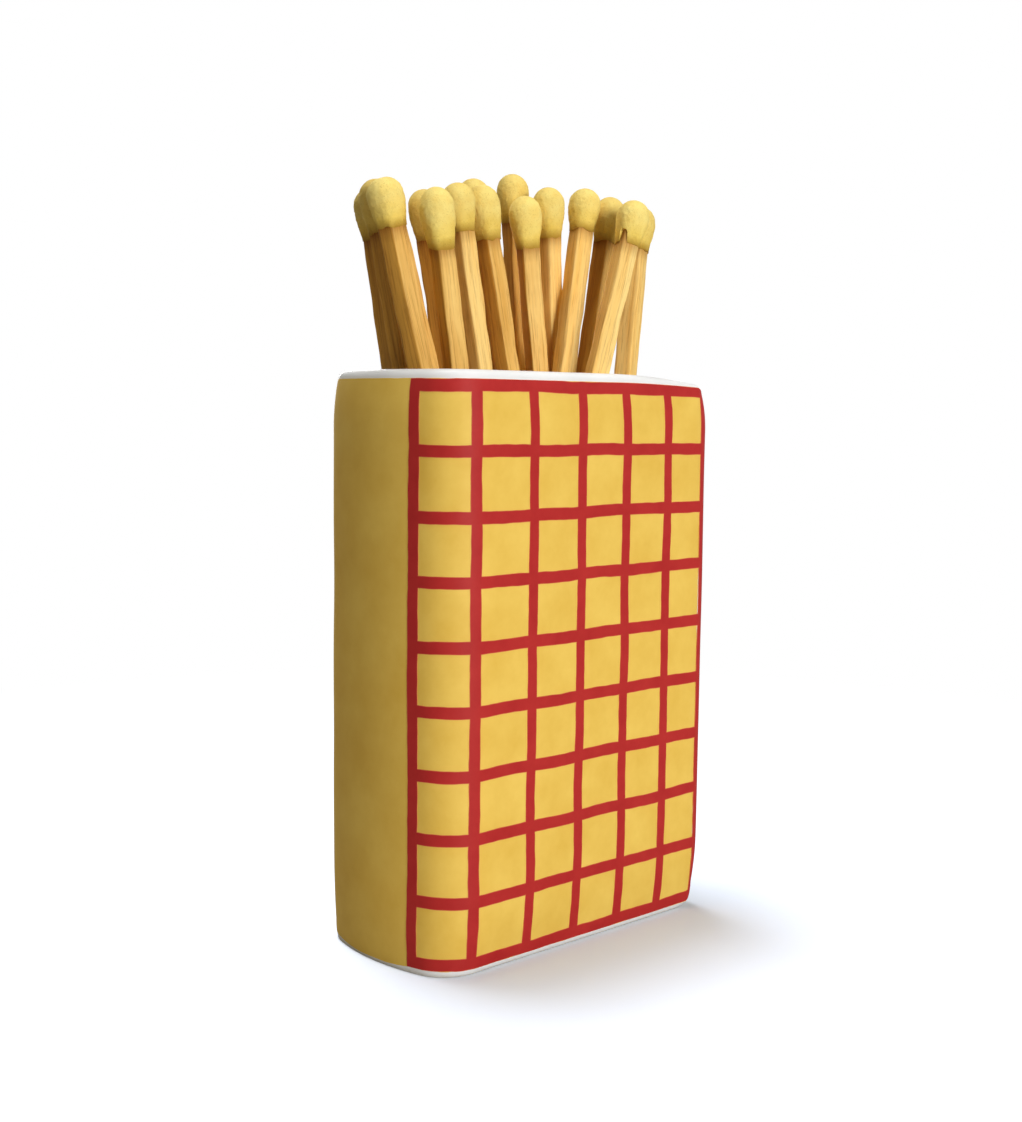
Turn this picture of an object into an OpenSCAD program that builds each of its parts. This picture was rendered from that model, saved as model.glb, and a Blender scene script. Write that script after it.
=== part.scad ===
// Match striker: a slip-cast porcelain pot in the shape of a small closed book, open at its top edge,
// with a bundle of long wooden matches standing in it and fine striking ribs moulded under its foot.
// The front cover faces -Y, the spine faces -X and the fore-edge faces +X. The foot stands on Z = 0.

/* [Book body] */
// Height from the table to the top of the rim
body_h = 80; // [66:1:95]
// Thickness from cover to cover
body_d = 28.5; // [28:0.5:36]
// Length from the crown of the spine to the fore-edge
body_l = 52.4; // [50:0.2:64]
// How far the middle of the spine bows out past its corners
spine_bow = 3.2; // [2:0.1:4]
// Radius of the two upright edges beside the spine
spine_corner_r = 4.7; // [3.5:0.1:6]
// Radius of the two upright edges beside the fore-edge
fore_corner_r = 2.6; // [2:0.1:4]
// Wall at the covers and the spine
wall = 2.8; // [2.2:0.1:3.2]
// Wall at the fore-edge
fore_wall = 3.4; // [2.8:0.1:4]
// Floor of the pot, measured from the table
floor_t = 4; // [3:0.1:6]
// Radius where the inner walls run into the floor
floor_fillet = 2; // [1.5:0.1:3]

/* [Rim] */
// Height of the rounding outside the rim, along the covers and the spine
rim_round = 1.2; // [0.8:0.1:2.5]
// Height of the rounding at the top corner of the fore-edge
fore_rim_round = 3.8; // [2.5:0.1:6]
// Height of the rounding inside the rim
rim_inner_round = 1; // [0.5:0.1:2]
// How far the rim sags towards the fore-edge
rim_sag = 0.9; // [0:0.1:2]
// Length of rim over which it sags
rim_sag_run = 20; // [8:1:26]
// How far the walls draw in below the rim
rim_draw = 0.6; // [0.2:0.1:1]
// Height over which the walls draw in below the rim
rim_draw_h = 8; // [5:0.5:14]

/* [Foot] */
// Height of the rounding at the foot, along the covers and the spine
foot_round = 2.6; // [1.5:0.1:4]
// Height of the rounding at the bottom corner of the fore-edge
fore_foot_round = 5.5; // [3:0.1:8]
// How far the rounding brings the foot in
foot_in = 0.8; // [0.4:0.1:3]
// How far the rounding brings the foot in at the fore-edge
fore_foot_in = 3.6; // [2:0.1:5]
// How far the walls draw in above the foot
foot_draw = 0.6; // [0.2:0.1:1]
// Height over which the walls draw in above the foot
foot_draw_h = 11; // [8:0.5:16]
// Width of the ring that stands on the table
foot_ring_w = 2.4; // [1.5:0.1:4]
// Depth of the hollow inside the ring
foot_hollow = 1; // [0.7:0.1:1.8]

/* [Striking ribs] */
// Distance from one rib to the next
rib_pitch = 1.2; // [0.8:0.1:2]
// How far the ribs stand down into the hollow
rib_h = 0.6; // [0.3:0.05:0.65]
// Bare margin between the ribs and the foot ring
rib_margin = 1.2; // [0.5:0.1:3]

/* [Colour layers] */
// Thickness of the yellow glaze
glaze_t = 0.15; // [0.1:0.01:0.3]
// Thickness of the red line print over the glaze
line_t = 0.1; // [0.08:0.01:0.2]
// Width of a red line
line_w = 1.7; // [0.8:0.05:2.2]
// White band left bare at the foot
foot_band = 0.9; // [0.5:0.1:1.4]
// Rows of squares on a cover
check_rows = 9; // [5:1:12]
// Distance along the surface from the front cover's spine corner back to its first line
front_line_back = 9.2; // [7:0.1:10]
// The same for the back cover, whose check starts nearer to the cover
back_line_back = 3; // [2:0.1:4]
// Distance along the surface that the last line lies round the fore-edge corner
last_line_past = 0.5; // [0:0.1:1]

/* [Matches] */
// Side of the square stick
stick_w = 2.8; // [2.4:0.1:3]
// How much longer a match is than the pot is deep
match_over = 27; // [25:0.5:36]
// Width of the head, across the flats that it takes from the stick
head_w = 4.35; // [4.1:0.05:4.6]
// Width of the head from corner to corner
head_corner_w = 4.8; // [4.5:0.05:5]
// Length of the head
head_l = 7.4; // [6.6:0.1:9]
// How far the stick runs up into the head
head_dip = 4.6; // [3:0.1:5.4]
// Sawn chamfer along the edges of a stick
stick_chamfer = 0.25; // [0.1:0.05:0.5]

/* [Hidden] */
// Where each match stands on the floor and where its tip leans to, seen from above in millimetres from
// the middle of the pot, the turn about its own length, and how much longer or shorter it is than the
// rest. They go from the spine to the fore-edge. The places are for a pot whose free plan inside is
// place_room, with its middle at place_mid_x, and they move with its walls.
place_room = [46.2, 22.9];
place_mid_x = -0.3;
PLACES = [
    [-3, 6.5, -19.5, 10, 0, -1],
    [-2.5, 1.5, -22.5, 5, 5, 0],
    [0.5, -3, -25, 0.5, 10, 0.5],
    [6.5, 0.5, -15, 12, 5, 2.5],
    [7, 6, -9, 11, 5, 0],
    [3, 2, -20, -4.5, -10, -1],
    [9.5, 2.5, -9.5, 3, 0, 0.5],
    [13, 0.5, -1.5, 8.5, 5, 2],
    [12, -2.5, -4, 4, 5, 0.5],
    [11, 6.5, 6.5, 8.5, -5, 2.5],
    [16.5, 3, 2, 1.5, -20, -1],
    [18, 7.5, 7, 1.5, 5, 0.5],
    [-9.5, -7, 13.5, 0, -10, 2.5],
    [-6, -6.5, 18.5, -0.5, 10, 2],
    [-15, -7.5, 16.5, -8, -20, 2],
    [7, -6.5, 25, -0.5, 15, 0]
];
match_count = len(PLACES);

$fn = 48;
// Least radius of the plan's corners where the walls are drawn in
inner_corner_r = 1.2;
// Depth of the pot, and the length of a match, head and all
depth = body_h - floor_t;
match_l = depth + match_over;
half_d = body_d / 2;
spine_x = -body_l / 2;
fore_x = body_l / 2;
spine_r = (half_d * half_d + spine_bow * spine_bow) / (2 * spine_bow);
spine_centre_x = spine_x + spine_r;

// Steps round the plan: the front cover, the fore-edge with its two corners, the back cover and the
// spine with its two corners. The covers' steps crowd towards the fore-edge, where the rim sags.
cover_steps = 6;
fore_corner_steps = 5;
fore_steps = 3;
spine_corner_steps = 7;
spine_steps = 12;

function mix(a, b, t) = a + (b - a) * t;
function fore_r(j) = max(fore_corner_r - j, inner_corner_r);
function spine_corner(i) = max(spine_corner_r - i, inner_corner_r);

// Centre of a spine corner's arc, in X, and the turn at which it meets the arc of the spine
function spine_corner_y(i) = half_d - i - spine_corner(i);
function spine_corner_x(i) =
    spine_centre_x - sqrt(pow(spine_r - i - spine_corner(i), 2) - pow(spine_corner_y(i), 2));
function spine_turn(i) = asin(spine_corner_y(i) / (spine_r - i - spine_corner(i)));

function arc(centre, r, from, to, steps) =
    [for (k = [0:steps - 1])
        let (a = mix(from, to, k / steps))
        [centre[0] + r * cos(a), centre[1] + r * sin(a)]];

function cover_share(k) = 1 - pow(1 - k / cover_steps, 1.5);
function cover(from, to, y) =
    [for (k = [0:cover_steps - 1])
        let (t = from < to ? cover_share(k) : 1 - cover_share(cover_steps - k))
        [mix(from, to, t), y]];

// The plan of the book, counter-clockwise from the spine end of the front cover, drawn in by i at the
// covers and the spine and by j at the fore-edge
function plan(i, j) =
    let (
        y = half_d - i,
        r = fore_r(max(i, j)),
        x = fore_x - j,
        c = spine_corner(i),
        cx = spine_corner_x(i),
        cy = spine_corner_y(i),
        turn = spine_turn(i)
    )
    concat(
        cover(cx, x - r, -y),
        arc([x - r, -y + r], r, -90, 0, fore_corner_steps),
        [for (k = [0:fore_steps - 1]) [x, mix(-y + r, y - r, k / fore_steps)]],
        arc([x - r, y - r], r, 0, 90, fore_corner_steps),
        cover(x - r, cx, y),
        arc([cx, cy], c, 90, 180 - turn, spine_corner_steps),
        arc([spine_centre_x, 0], spine_r - i, 180 - turn, 180 + turn, spine_steps),
        arc([cx, -cy], c, 180 + turn, 270, spine_corner_steps)
    );

around = 2 * (cover_steps + fore_corner_steps + spine_corner_steps) + fore_steps + spine_steps;
fore_start = cover_steps + fore_corner_steps;
fore_end = fore_start + fore_steps;
back_start = fore_end + fore_corner_steps;
back_end = back_start + cover_steps;

// How much of the fore-edge's own profile a step of the plan takes: none on the covers and the spine
function fore_share(k) =
    k <= cover_steps ? 0
    : k < fore_start ? (k - cover_steps) / fore_corner_steps
    : k <= fore_end ? 1
    : k < back_start ? (back_start - k) / fore_corner_steps
    : 0;
function sag_share(x) = pow(max(0, min(1, (x - fore_x + rim_sag_run) / rim_sag_run)), 2);

// The upright profile, as [inset at the covers, height there, inset at the fore-edge, height there,
// share of the rim's sag], from the edge of the foot ring up the outside to the crown of the rim
function round_in(t) = 1 - sin(t);
function round_up(t) = 1 - cos(t);
band_turn = acos(1 - foot_band / foot_round);
foot_turns = [0, band_turn / 2, band_turn, mix(band_turn, 90, 0.35), mix(band_turn, 90, 0.7)];
foot_draw_steps = [0, 0.3, 0.65, 1];
rim_draw_steps = [0, 0.4, 0.7];
rim_turns = [0, 25, 50, 70, 90];
inner_rim_turns = [70, 45, 20, 0];
floor_turns = [90, 60, 30, 0];
// Where the crown of the rim lies, as a share of the way from its outer face to its inner one
crown_share = 0.55;
fore_crown_share = 0.7;
crown_in = mix(rim_draw, wall, crown_share);
fore_crown_in = mix(rim_draw, fore_wall, fore_crown_share);
outer = concat(
    [for (t = foot_turns)
        [foot_draw + foot_in * round_in(t), foot_round * round_up(t),
         foot_draw + fore_foot_in * round_in(t), fore_foot_round * round_up(t), 0]],
    [for (t = foot_draw_steps)
        [foot_draw * pow(1 - t, 2), mix(foot_round, foot_draw_h, t),
         foot_draw * pow(1 - t, 2), mix(fore_foot_round, foot_draw_h, t), 0]],
    [for (t = rim_draw_steps)
        [rim_draw * t * t, mix(body_h - rim_draw_h, body_h - rim_round, t),
         rim_draw * t * t, mix(body_h - rim_draw_h, body_h - fore_rim_round, t), t * t]],
    [for (t = rim_turns)
        [mix(rim_draw, crown_in, round_up(t)), body_h - rim_round * round_in(t),
         mix(rim_draw, fore_crown_in, round_up(t)), body_h - fore_rim_round * round_in(t), 1]]
);
band_level = 2;
print_level = len(outer) - len(rim_turns);

// The profile goes on over the crown, down inside the wall and round onto the floor
inner = concat(
    [for (t = inner_rim_turns)
        [mix(wall, crown_in, round_up(t)), body_h - rim_inner_round * round_in(t),
         mix(fore_wall, fore_crown_in, round_up(t)), body_h - rim_inner_round * round_in(t), 1]],
    [for (t = floor_turns)
        [wall + floor_fillet * round_in(t), floor_t + floor_fillet * round_up(t),
         fore_wall + floor_fillet * round_in(t), floor_t + floor_fillet * round_up(t), 0]]
);
ring_in = foot_draw + foot_in + foot_ring_w;
fore_ring_in = foot_draw + fore_foot_in + foot_ring_w;
ring_slope = foot_hollow / 2;
under = [
    [ring_in + ring_slope, foot_hollow, fore_ring_in + ring_slope, foot_hollow, 0],
    [ring_in, 0, fore_ring_in, 0, 0]
];

// A ring of points on the body at one level of the profile, raised outwards by t
function ring(level, t = 0) =
    let (p = plan(level[0] - t, level[2] - t))
    [for (k = [0:around - 1])
        [p[k][0], p[k][1],
         mix(level[1], level[3], fore_share(k)) - rim_sag * level[4] * sag_share(p[k][0])]];

// Two triangles for each square between neighbouring rings, seen clockwise from outside
function skin_faces(count) =
    [for (p = [0:count - 2], k = [0:around - 1])
        let (
            a = p * around + k,
            b = p * around + (k + 1) % around
        )
        each [[a, a + around, b], [b, a + around, b + around]]];

// Distances along the surface from the spine end of the front cover, paired with the steps of the plan
body_plan = plan(0, 0);
function plan_point(k) = body_plan[(k + around) % around];
function run_on(k, so_far, end) =
    k > end ? []
    : concat([[so_far, k]], run_on(k + 1, so_far + norm(plan_point(k + 1) - plan_point(k)), end));
function run_back(k, so_far, end) =
    k < end ? []
    : concat([[so_far, k]], run_back(k - 1, so_far - norm(plan_point(k) - plan_point(k - 1)), end));
runs_on = run_on(0, 0, fore_start);
runs_back = run_back(0, 0, -spine_corner_steps - spine_steps / 2);
runs = concat([for (k = [len(runs_back) - 1:-1:1]) runs_back[k]], runs_on);
function step_at(distance) = lookup(distance, runs);
function level_at(z) =
    lookup(z, [for (k = [band_level:print_level]) [outer[k][1], k]]);

// A point of a ring, and of the body's skin, between the steps and the levels
function on_ring(points, s) =
    let (
        k = floor(s),
        t = s - k,
        a = points[(k + around) % around],
        b = points[(k + 1 + around) % around]
    )
    mix(a, b, t);
function on_skin(rings, s, q) =
    let (
        k = min(floor(q), len(rings) - 2),
        t = q - k
    )
    mix(on_ring(rings[k], s), on_ring(rings[k + 1], s), t);

// Whole numbers strictly between two places
function between(a, b) = [for (k = [floor(a + 0.001) + 1:ceil(b - 0.001) - 1]) k];

// The squares across a cover, from the spine to the fore-edge, as widths in proportion to each other
column_widths = [9.1, 10, 9.1, 8.8, 8.6, 7.6];
columns = len(column_widths);
function column_sum(n) = n == 0 ? 0 : column_widths[n - 1] + column_sum(n - 1);
cover_run = runs_on[cover_steps][0];
function column_at(n, back) =
    mix(-back, cover_run + last_line_past, column_sum(n) / column_sum(columns));
row_bottom = foot_band + line_w / 2;
row_top = body_h - rim_round - line_w / 2;
function row_at(n) = mix(row_bottom, row_top, n / check_rows);

// The places of a row of line edges and of the skin's own steps between them, each with true where a
// line follows it
function stations(edges) =
    concat(
        [for (n = [0:len(edges) - 2])
            each concat(
                [[edges[n], n % 2 == 0]],
                [for (k = between(edges[n], edges[n + 1])) [k, n % 2 == 0]])],
        [[edges[len(edges) - 1], false]]
    );
function column_edges(back) =
    [for (n = [0:columns], side = [-0.5, 0.5]) step_at(column_at(n, back) + side * line_w)];
row_edges =
    [for (n = [0:check_rows], side = [-0.5, 0.5]) level_at(row_at(n) + side * line_w)];
last_edge = step_at(cover_run + last_line_past + line_w / 2);

// A thin layer that follows the body's skin between heights t0 and t1 over it. The squares between
// neighbouring places in across and up are filled where either of the two is marked.
module layer(across, up, t0, t1) {
    under_rings = [for (level = outer) ring(level, t0)];
    upper_rings = [for (level = outer) ring(level, t1)];
    n = len(across);
    m = len(up);
    filled = [for (i = [-1:n - 1])
        [for (j = [-1:m - 1])
            i >= 0 && j >= 0 && i < n - 1 && j < m - 1 && (across[i][1] || up[j][1])]];
    points = [for (rings = [under_rings, upper_rings], j = [0:m - 1], i = [0:n - 1])
        on_skin(rings, across[i][0], up[j][0])];
    top = n * m;
    quads = [for (i = [0:n - 2], j = [0:m - 2])
        if (filled[i + 1][j + 1])
            let (
                a = j * n + i,
                b = a + 1,
                c = b + n,
                d = a + n
            )
            each concat(
                [[a, b, c, d], [top + d, top + c, top + b, top + a]],
                filled[i + 1][j] ? [] : [[b, a, top + a, top + b]],
                filled[i + 1][j + 2] ? [] : [[d, c, top + c, top + d]],
                filled[i][j + 1] ? [] : [[a, d, top + d, top + a]],
                filled[i + 2][j + 1] ? [] : [[c, b, top + b, top + c]])];
    faces = [for (q = quads) each [[q[0], q[1], q[2]], [q[0], q[2], q[3]]]];
    polyhedron(points, faces);
}

module vessel() {
    rings = [for (level = concat(under, outer, inner)) ring(level)];
    last = (len(rings) - 1) * around;
    roof_centre = len(rings) * around;
    color("#f4f3f0")
        union() {
            polyhedron(
                concat([for (r = rings) each r], [[0, 0, foot_hollow], [0, 0, floor_t]]),
                concat(
                    skin_faces(len(rings)),
                    [for (k = [0:around - 1]) [k, (k + 1) % around, roof_centre]],
                    [for (k = [0:around - 1]) [last + (k + 1) % around, last + k, roof_centre + 1]]
                )
            );
            striking_ribs();
        }
}

// Sharp ribs across the hollow under the foot, rooted a little way into its roof, and the flat between
// them just below it
rib_root = 0.3;
rib_seat = 0.02;
module striking_ribs() {
    root = foot_hollow + rib_root;
    seat = foot_hollow - rib_seat;
    tip = foot_hollow - rib_h;
    in = ring_in + rib_margin;
    fore_in = fore_ring_in + rib_margin;
    from = spine_x + in;
    ribs = floor((fore_x - fore_in - from) / rib_pitch);
    profile = concat(
        [[from, root]],
        [for (k = [0:ribs - 1])
            each [
                [from + k * rib_pitch, seat],
                [from + (k + 0.5) * rib_pitch, tip]
            ]],
        [[from + ribs * rib_pitch, seat], [from + ribs * rib_pitch, root]]
    );
    intersection() {
        rotate([90, 0, 0])
            linear_extrude(height = body_d, center = true)
                polygon(profile);
        linear_extrude(height = body_h)
            polygon(plan(in, fore_in));
    }
}

// The yellow glaze: round the covers and the spine, from the foot band to the rim
module yellow_glaze() {
    from = back_end - last_edge;
    to = around + last_edge;
    across = [for (s = concat([from], between(from, to), [to])) [s, true]];
    color("#ecc65a")
        layer(across, [for (q = [band_level:print_level]) [q, true]], 0, glaze_t);
}

// The red window-pane check printed over the glaze of one cover, from back along the surface
module check_lines(back) {
    color("#b93038")
        layer(stations(column_edges(back)), stations(row_edges), glaze_t, glaze_t + line_t);
}
module front_check() {
    check_lines(front_line_back);
}
module back_check() {
    mirror([0, 1, 0])
        check_lines(back_line_back);
}

// The free plan inside the walls, and a place in it
room = [body_l - wall - fore_wall, body_d - 2 * wall];
room_mid_x = (wall - fore_wall) / 2;
spread = [room[0] / place_room[0], room[1] / place_room[1]];
function place(x, y) = [room_mid_x + (x - place_mid_x) * spread[0], y * spread[1], 0];

// A pot with less room inside takes thinner matches
squeeze = min(1, spread[0], spread[1]);
side = stick_w * squeeze;
head_side = head_w * squeeze;
chamfer = stick_chamfer * squeeze;

// Sticks and heads share this frame: the axis of a match, lifted until its lowest corner is on the floor
module on_its_foot(n) {
    p = PLACES[n];
    foot = place(p[0], p[1]);
    lean = place(p[2], p[3]) - foot;
    tilt = atan2(norm(lean), match_l);
    way = atan2(lean[1], lean[0]);
    turn = p[4] - way;
    long_share = max(abs(cos(turn)), abs(sin(turn)));
    short_share = min(abs(cos(turn)), abs(sin(turn)));
    lift = sin(tilt) * (side / 2 * long_share + (side / 2 - chamfer) * short_share);
    translate(foot + [0, 0, floor_t + lift])
        rotate([0, tilt, way])
            rotate([0, 0, turn])
                children();
}
function length_of(n) = match_l + PLACES[n][5];

// A square of width w with its corners cut off by c
module cut_square(w, c) {
    h = w / 2;
    polygon([
        [h, c - h], [h, h - c], [h - c, h], [c - h, h],
        [-h, h - c], [-h, c - h], [c - h, -h], [h - c, -h]
    ]);
}
module stick_shape(length) {
    linear_extrude(height = length)
        cut_square(side, chamfer);
}
module match_stick(n) {
    color("#d8a763")
        on_its_foot(n)
            stick_shape(length_of(n) - head_l + head_dip);
}

// The head is dipped. The coat takes on the square of the stick, swells to a bulb with a domed top and
// holds the end of the stick. The dome is a little taller than half a ball. head_cut is the share of the
// width that the corners lose, and neck_coat the thickness of the coat on the stick where it ends.
dome_share = 1.1;
swell_share = 0.6;
head_cut = 0.1;
neck_coat = 0.1;
module match_head(n) {
    r = head_corner_w * squeeze / 2;
    neck = norm([side / 2, side / 2 - chamfer]) + neck_coat;
    neck_side = side + 2 * neck_coat;
    dome = r * dome_share;
    swell = (head_l - dome) * swell_share;
    steps = 6;
    profile = concat(
        [[0, 0], [neck, 0]],
        [for (k = [1:steps]) let (t = 90 * k / steps) [mix(neck, r, sin(t)), (head_l - dome) * k / steps]],
        [for (k = [1:steps]) let (t = 90 * k / steps) [r * cos(t), head_l - dome * round_in(t)]]
    );
    color("#dccb62")
        on_its_foot(n)
            difference() {
                translate([0, 0, length_of(n) - head_l])
                    intersection() {
                        rotate_extrude()
                            polygon(profile);
                        union() {
                            linear_extrude(height = swell, scale = head_side / neck_side)
                                cut_square(neck_side, neck_side * head_cut);
                            translate([0, 0, swell])
                                linear_extrude(height = head_l - swell)
                                    cut_square(head_side, head_side * head_cut);
                        }
                    }
                stick_shape(length_of(n) - head_l + head_dip);
            }
}

vessel();
yellow_glaze();
front_check();
back_check();
for (n = [0:match_count - 1]) {
    match_stick(n);
    match_head(n);
}
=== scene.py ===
"""A match striker: a porcelain pot in the shape of a closed book, with a bundle of long wooden matches."""

import math

import bmesh
import bpy
from mathutils import Matrix, Vector, noise


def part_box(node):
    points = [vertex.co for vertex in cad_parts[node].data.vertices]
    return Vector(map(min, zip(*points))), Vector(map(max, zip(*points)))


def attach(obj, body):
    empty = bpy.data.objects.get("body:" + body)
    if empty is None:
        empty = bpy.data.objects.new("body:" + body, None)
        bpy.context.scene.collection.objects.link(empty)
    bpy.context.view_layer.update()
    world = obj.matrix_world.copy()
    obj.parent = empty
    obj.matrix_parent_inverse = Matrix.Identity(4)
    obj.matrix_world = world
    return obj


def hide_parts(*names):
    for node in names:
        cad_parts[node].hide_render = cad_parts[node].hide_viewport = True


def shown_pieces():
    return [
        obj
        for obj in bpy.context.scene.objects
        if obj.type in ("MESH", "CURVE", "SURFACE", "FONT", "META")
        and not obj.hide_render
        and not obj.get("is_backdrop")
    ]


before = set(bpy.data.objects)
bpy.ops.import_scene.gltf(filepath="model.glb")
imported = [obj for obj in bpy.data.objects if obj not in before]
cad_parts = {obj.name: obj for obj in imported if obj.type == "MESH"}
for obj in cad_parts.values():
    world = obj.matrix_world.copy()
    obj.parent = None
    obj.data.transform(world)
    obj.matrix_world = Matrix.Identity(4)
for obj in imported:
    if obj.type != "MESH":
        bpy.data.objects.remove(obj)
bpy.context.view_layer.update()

# The pot. One slip-cast shell of white porcelain in the shape of a closed book, with a bowed spine, soft
# rim and foot, and sharp ribs under the foot to strike a match on. Glossy all over but for the foot.
MM = 0.001


def mix(a, b, t):
    return a + (b - a) * t


pot_low, pot_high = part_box("vessel")
book_h = pot_high.z / MM
half_d = pot_high.y / MM
fore_x = pot_high.x / MM
spine_x = pot_low.x / MM
spine_bow = 3.2
spine_corner = 6.8
fore_corner = 2.6
least_corner = 1.2
wall = 2.8
fore_wall = 3.4
floor_t = 4
floor_fillet = 2
rim_round = 1.2
fore_rim_round = 3.8
rim_inner_round = 1
rim_sag = 1.5
low_sag = 0.4
rim_sag_run = 20
inner_sag_h = 18
rim_draw = 0.6
rim_draw_h = 8
crown_share = 0.55
fore_crown_share = 0.85
crown_in = mix(rim_draw, wall, crown_share)
fore_crown_in = mix(rim_draw, fore_wall, fore_crown_share)
foot_round = 2.6
fore_foot_round = 5.5
foot_in = 0.8
fore_foot_in = 3.6
foot_draw = 0.6
foot_draw_h = 11
foot_ring_w = 2.4
foot_hollow = 1
spine_foot_ease = 0.7
hand_wave = 0.1
hand_wave_scale = 0.07
bow_r = (half_d**2 + spine_bow**2) / (2 * spine_bow)
bow_x = spine_x + bow_r

# The outline of the book runs through eight stretches, counter-clockwise: the front cover, a fore-edge
# corner, the fore-edge, its other corner, the back cover, a spine corner, the spine and its other corner.
FRONT, FORE_1, FORE, FORE_2, BACK, SPINE_1, SPINE, SPINE_2 = range(8)


def spine_corner_at(inset):
    """The radius of a spine corner, its centre, and the turn at which it meets the spine."""
    r = max(spine_corner - inset, least_corner)
    y = half_d - inset - r
    reach = bow_r - inset - r
    return r, bow_x - math.sqrt(reach**2 - y**2), y, math.asin(y / reach)


def outline(u, inset, fore_inset):
    """The point at u along the outline, drawn in by inset at the covers and spine and fore_inset at the fore-edge."""
    stretch, t = divmod(u % 8, 1)
    side = half_d - inset
    fore = fore_x - fore_inset
    fore_r = max(fore_corner - max(inset, fore_inset), least_corner)
    r, cx, cy, turn = spine_corner_at(inset)
    straight = {
        FRONT: (cx, -side, fore - fore_r, -side),
        FORE: (fore, fore_r - side, fore, side - fore_r),
        BACK: (fore - fore_r, side, cx, side),
    }
    if stretch in straight:
        x0, y0, x1, y1 = straight[stretch]
        return Vector((mix(x0, x1, t), mix(y0, y1, t), 0))
    x, y, radius, start, end = {
        FORE_1: (fore - fore_r, fore_r - side, fore_r, -math.pi / 2, 0),
        FORE_2: (fore - fore_r, side - fore_r, fore_r, 0, math.pi / 2),
        SPINE_1: (cx, cy, r, math.pi / 2, math.pi - turn),
        SPINE: (bow_x, 0, bow_r - inset, math.pi - turn, math.pi + turn),
        SPINE_2: (cx, -cy, r, math.pi + turn, 1.5 * math.pi),
    }[stretch]
    a = mix(start, end, t)
    return Vector((x + radius * math.cos(a), y + radius * math.sin(a), 0))


def fore_share(u):
    """How much of the fore-edge's own profile a place on the outline takes."""
    return max(0, min(1, u % 8 - 1, 4 - u % 8))


def outside(z):
    """At height z: how far the covers and the fore-edge draw in, the fore-edge's own height and its part of the sag."""
    if z < foot_round:
        turn = math.acos(1 - z / foot_round)
        near = 1 - math.sin(turn)
        return foot_draw + foot_in * near, foot_draw + fore_foot_in * near, z * fore_foot_round / foot_round, 0
    if z < foot_draw_h:
        t = (z - foot_round) / (foot_draw_h - foot_round)
        draw = foot_draw * (1 - t) ** 2
        return draw, draw, mix(fore_foot_round, foot_draw_h, t), 0
    if z < book_h - rim_draw_h:
        return 0, 0, z, 0
    if z < book_h - rim_round:
        t = (z - book_h + rim_draw_h) / (rim_draw_h - rim_round)
        draw = rim_draw * t * t
        return draw, draw, mix(book_h - rim_draw_h, book_h - fore_rim_round, t), low_sag * t * t
    low = (book_h - z) / rim_round
    round_up = 1 - math.sqrt(max(0, 1 - (1 - low) ** 2))
    inset, fore_inset = mix(rim_draw, crown_in, round_up), mix(rim_draw, fore_crown_in, round_up)
    return inset, fore_inset, book_h - fore_rim_round * low, mix(1, low_sag, low)


def inside(part, t):
    """The same for the way down inside: over the crown, or round onto the floor."""
    turn = t * math.pi / 2
    if part == "crown":
        round_up, low = 1 - math.cos(turn), 1 - math.sin(turn)
        z = book_h - rim_inner_round * low
        return mix(wall, crown_in, round_up), mix(fore_wall, fore_crown_in, round_up), z, z, 1
    near, z = 1 - math.sin(turn), floor_t + floor_fillet * (1 - math.cos(turn))
    return wall + floor_fillet * near, fore_wall + floor_fillet * near, z, z, 0


def spine_share(u):
    """How much a place on the outline belongs to the spine, rising over its corners."""
    return max(0, min(1, u % 8 - SPINE_1, 8 - u % 8))


def on_pot(u, level, lift=0):
    """A point of the pot's surface, lifted off it by lift. A cast and fettled pot is never quite even."""
    inset, fore_inset, z, fore_z, sagging = level
    if z < foot_draw_h and inset < wall:
        inset *= 1 - spine_foot_ease * spine_share(u)
    flat = outline(u, inset, fore_inset)
    wave = hand_wave * noise.noise(Vector((flat.x, flat.y, z)) * hand_wave_scale)
    point = outline(u, inset - lift - wave, fore_inset - lift - wave)
    sag = max(0, min(1, (point.x - fore_x + rim_sag_run) / rim_sag_run)) ** 2
    point.z = mix(z, fore_z, fore_share(u)) - rim_sag * sagging * sag
    return point


def on_outside(u, z, lift=0):
    inset, fore_inset, fore_z, sagging = outside(z)
    return on_pot(u, (inset, fore_inset, z, fore_z, sagging), lift)


def sheet(across, up, place):
    """A grid whose vertex in column i and row j lies at place(i, j), with the column and row kept in its UV map."""
    bm = bmesh.new()
    bmesh.ops.create_grid(bm, x_segments=across, y_segments=up, size=1, calc_uvs=False)
    uv = bm.loops.layers.uv.new("UVMap")
    for face in bm.faces:
        for loop in face.loops:
            loop[uv].uv = (loop.vert.co.x / 2 + 0.5, loop.vert.co.y / 2 + 0.5)
    for v in bm.verts:
        v.co = place(round((v.co.x + 1) / 2 * across), round((v.co.y + 1) / 2 * up))
    return bm


def finish_piece(bm, name, surface, *nodes, slot, smooth=60):
    """Turns a mesh in millimetres into a piece that rides with the pot and stands for these CAD nodes."""
    bmesh.ops.scale(bm, vec=(MM, MM, MM), verts=bm.verts)
    for edge in bm.edges:
        sharp = len(edge.link_faces) != 2 or edge.calc_face_angle(0) > math.radians(smooth)
        edge.smooth = not sharp
    for face in bm.faces:
        face.smooth = True
    mesh = bpy.data.meshes.new(name)
    bm.to_mesh(mesh)
    bm.free()
    mesh.materials.append(surface)
    piece = bpy.data.objects.new(name, mesh)
    bpy.context.collection.objects.link(piece)
    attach(piece, "root")
    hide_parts(*nodes)
    return piece


def even(n, low=0.0, high=1.0):
    return [mix(low, high, k / n) for k in range(n + 1)]


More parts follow.
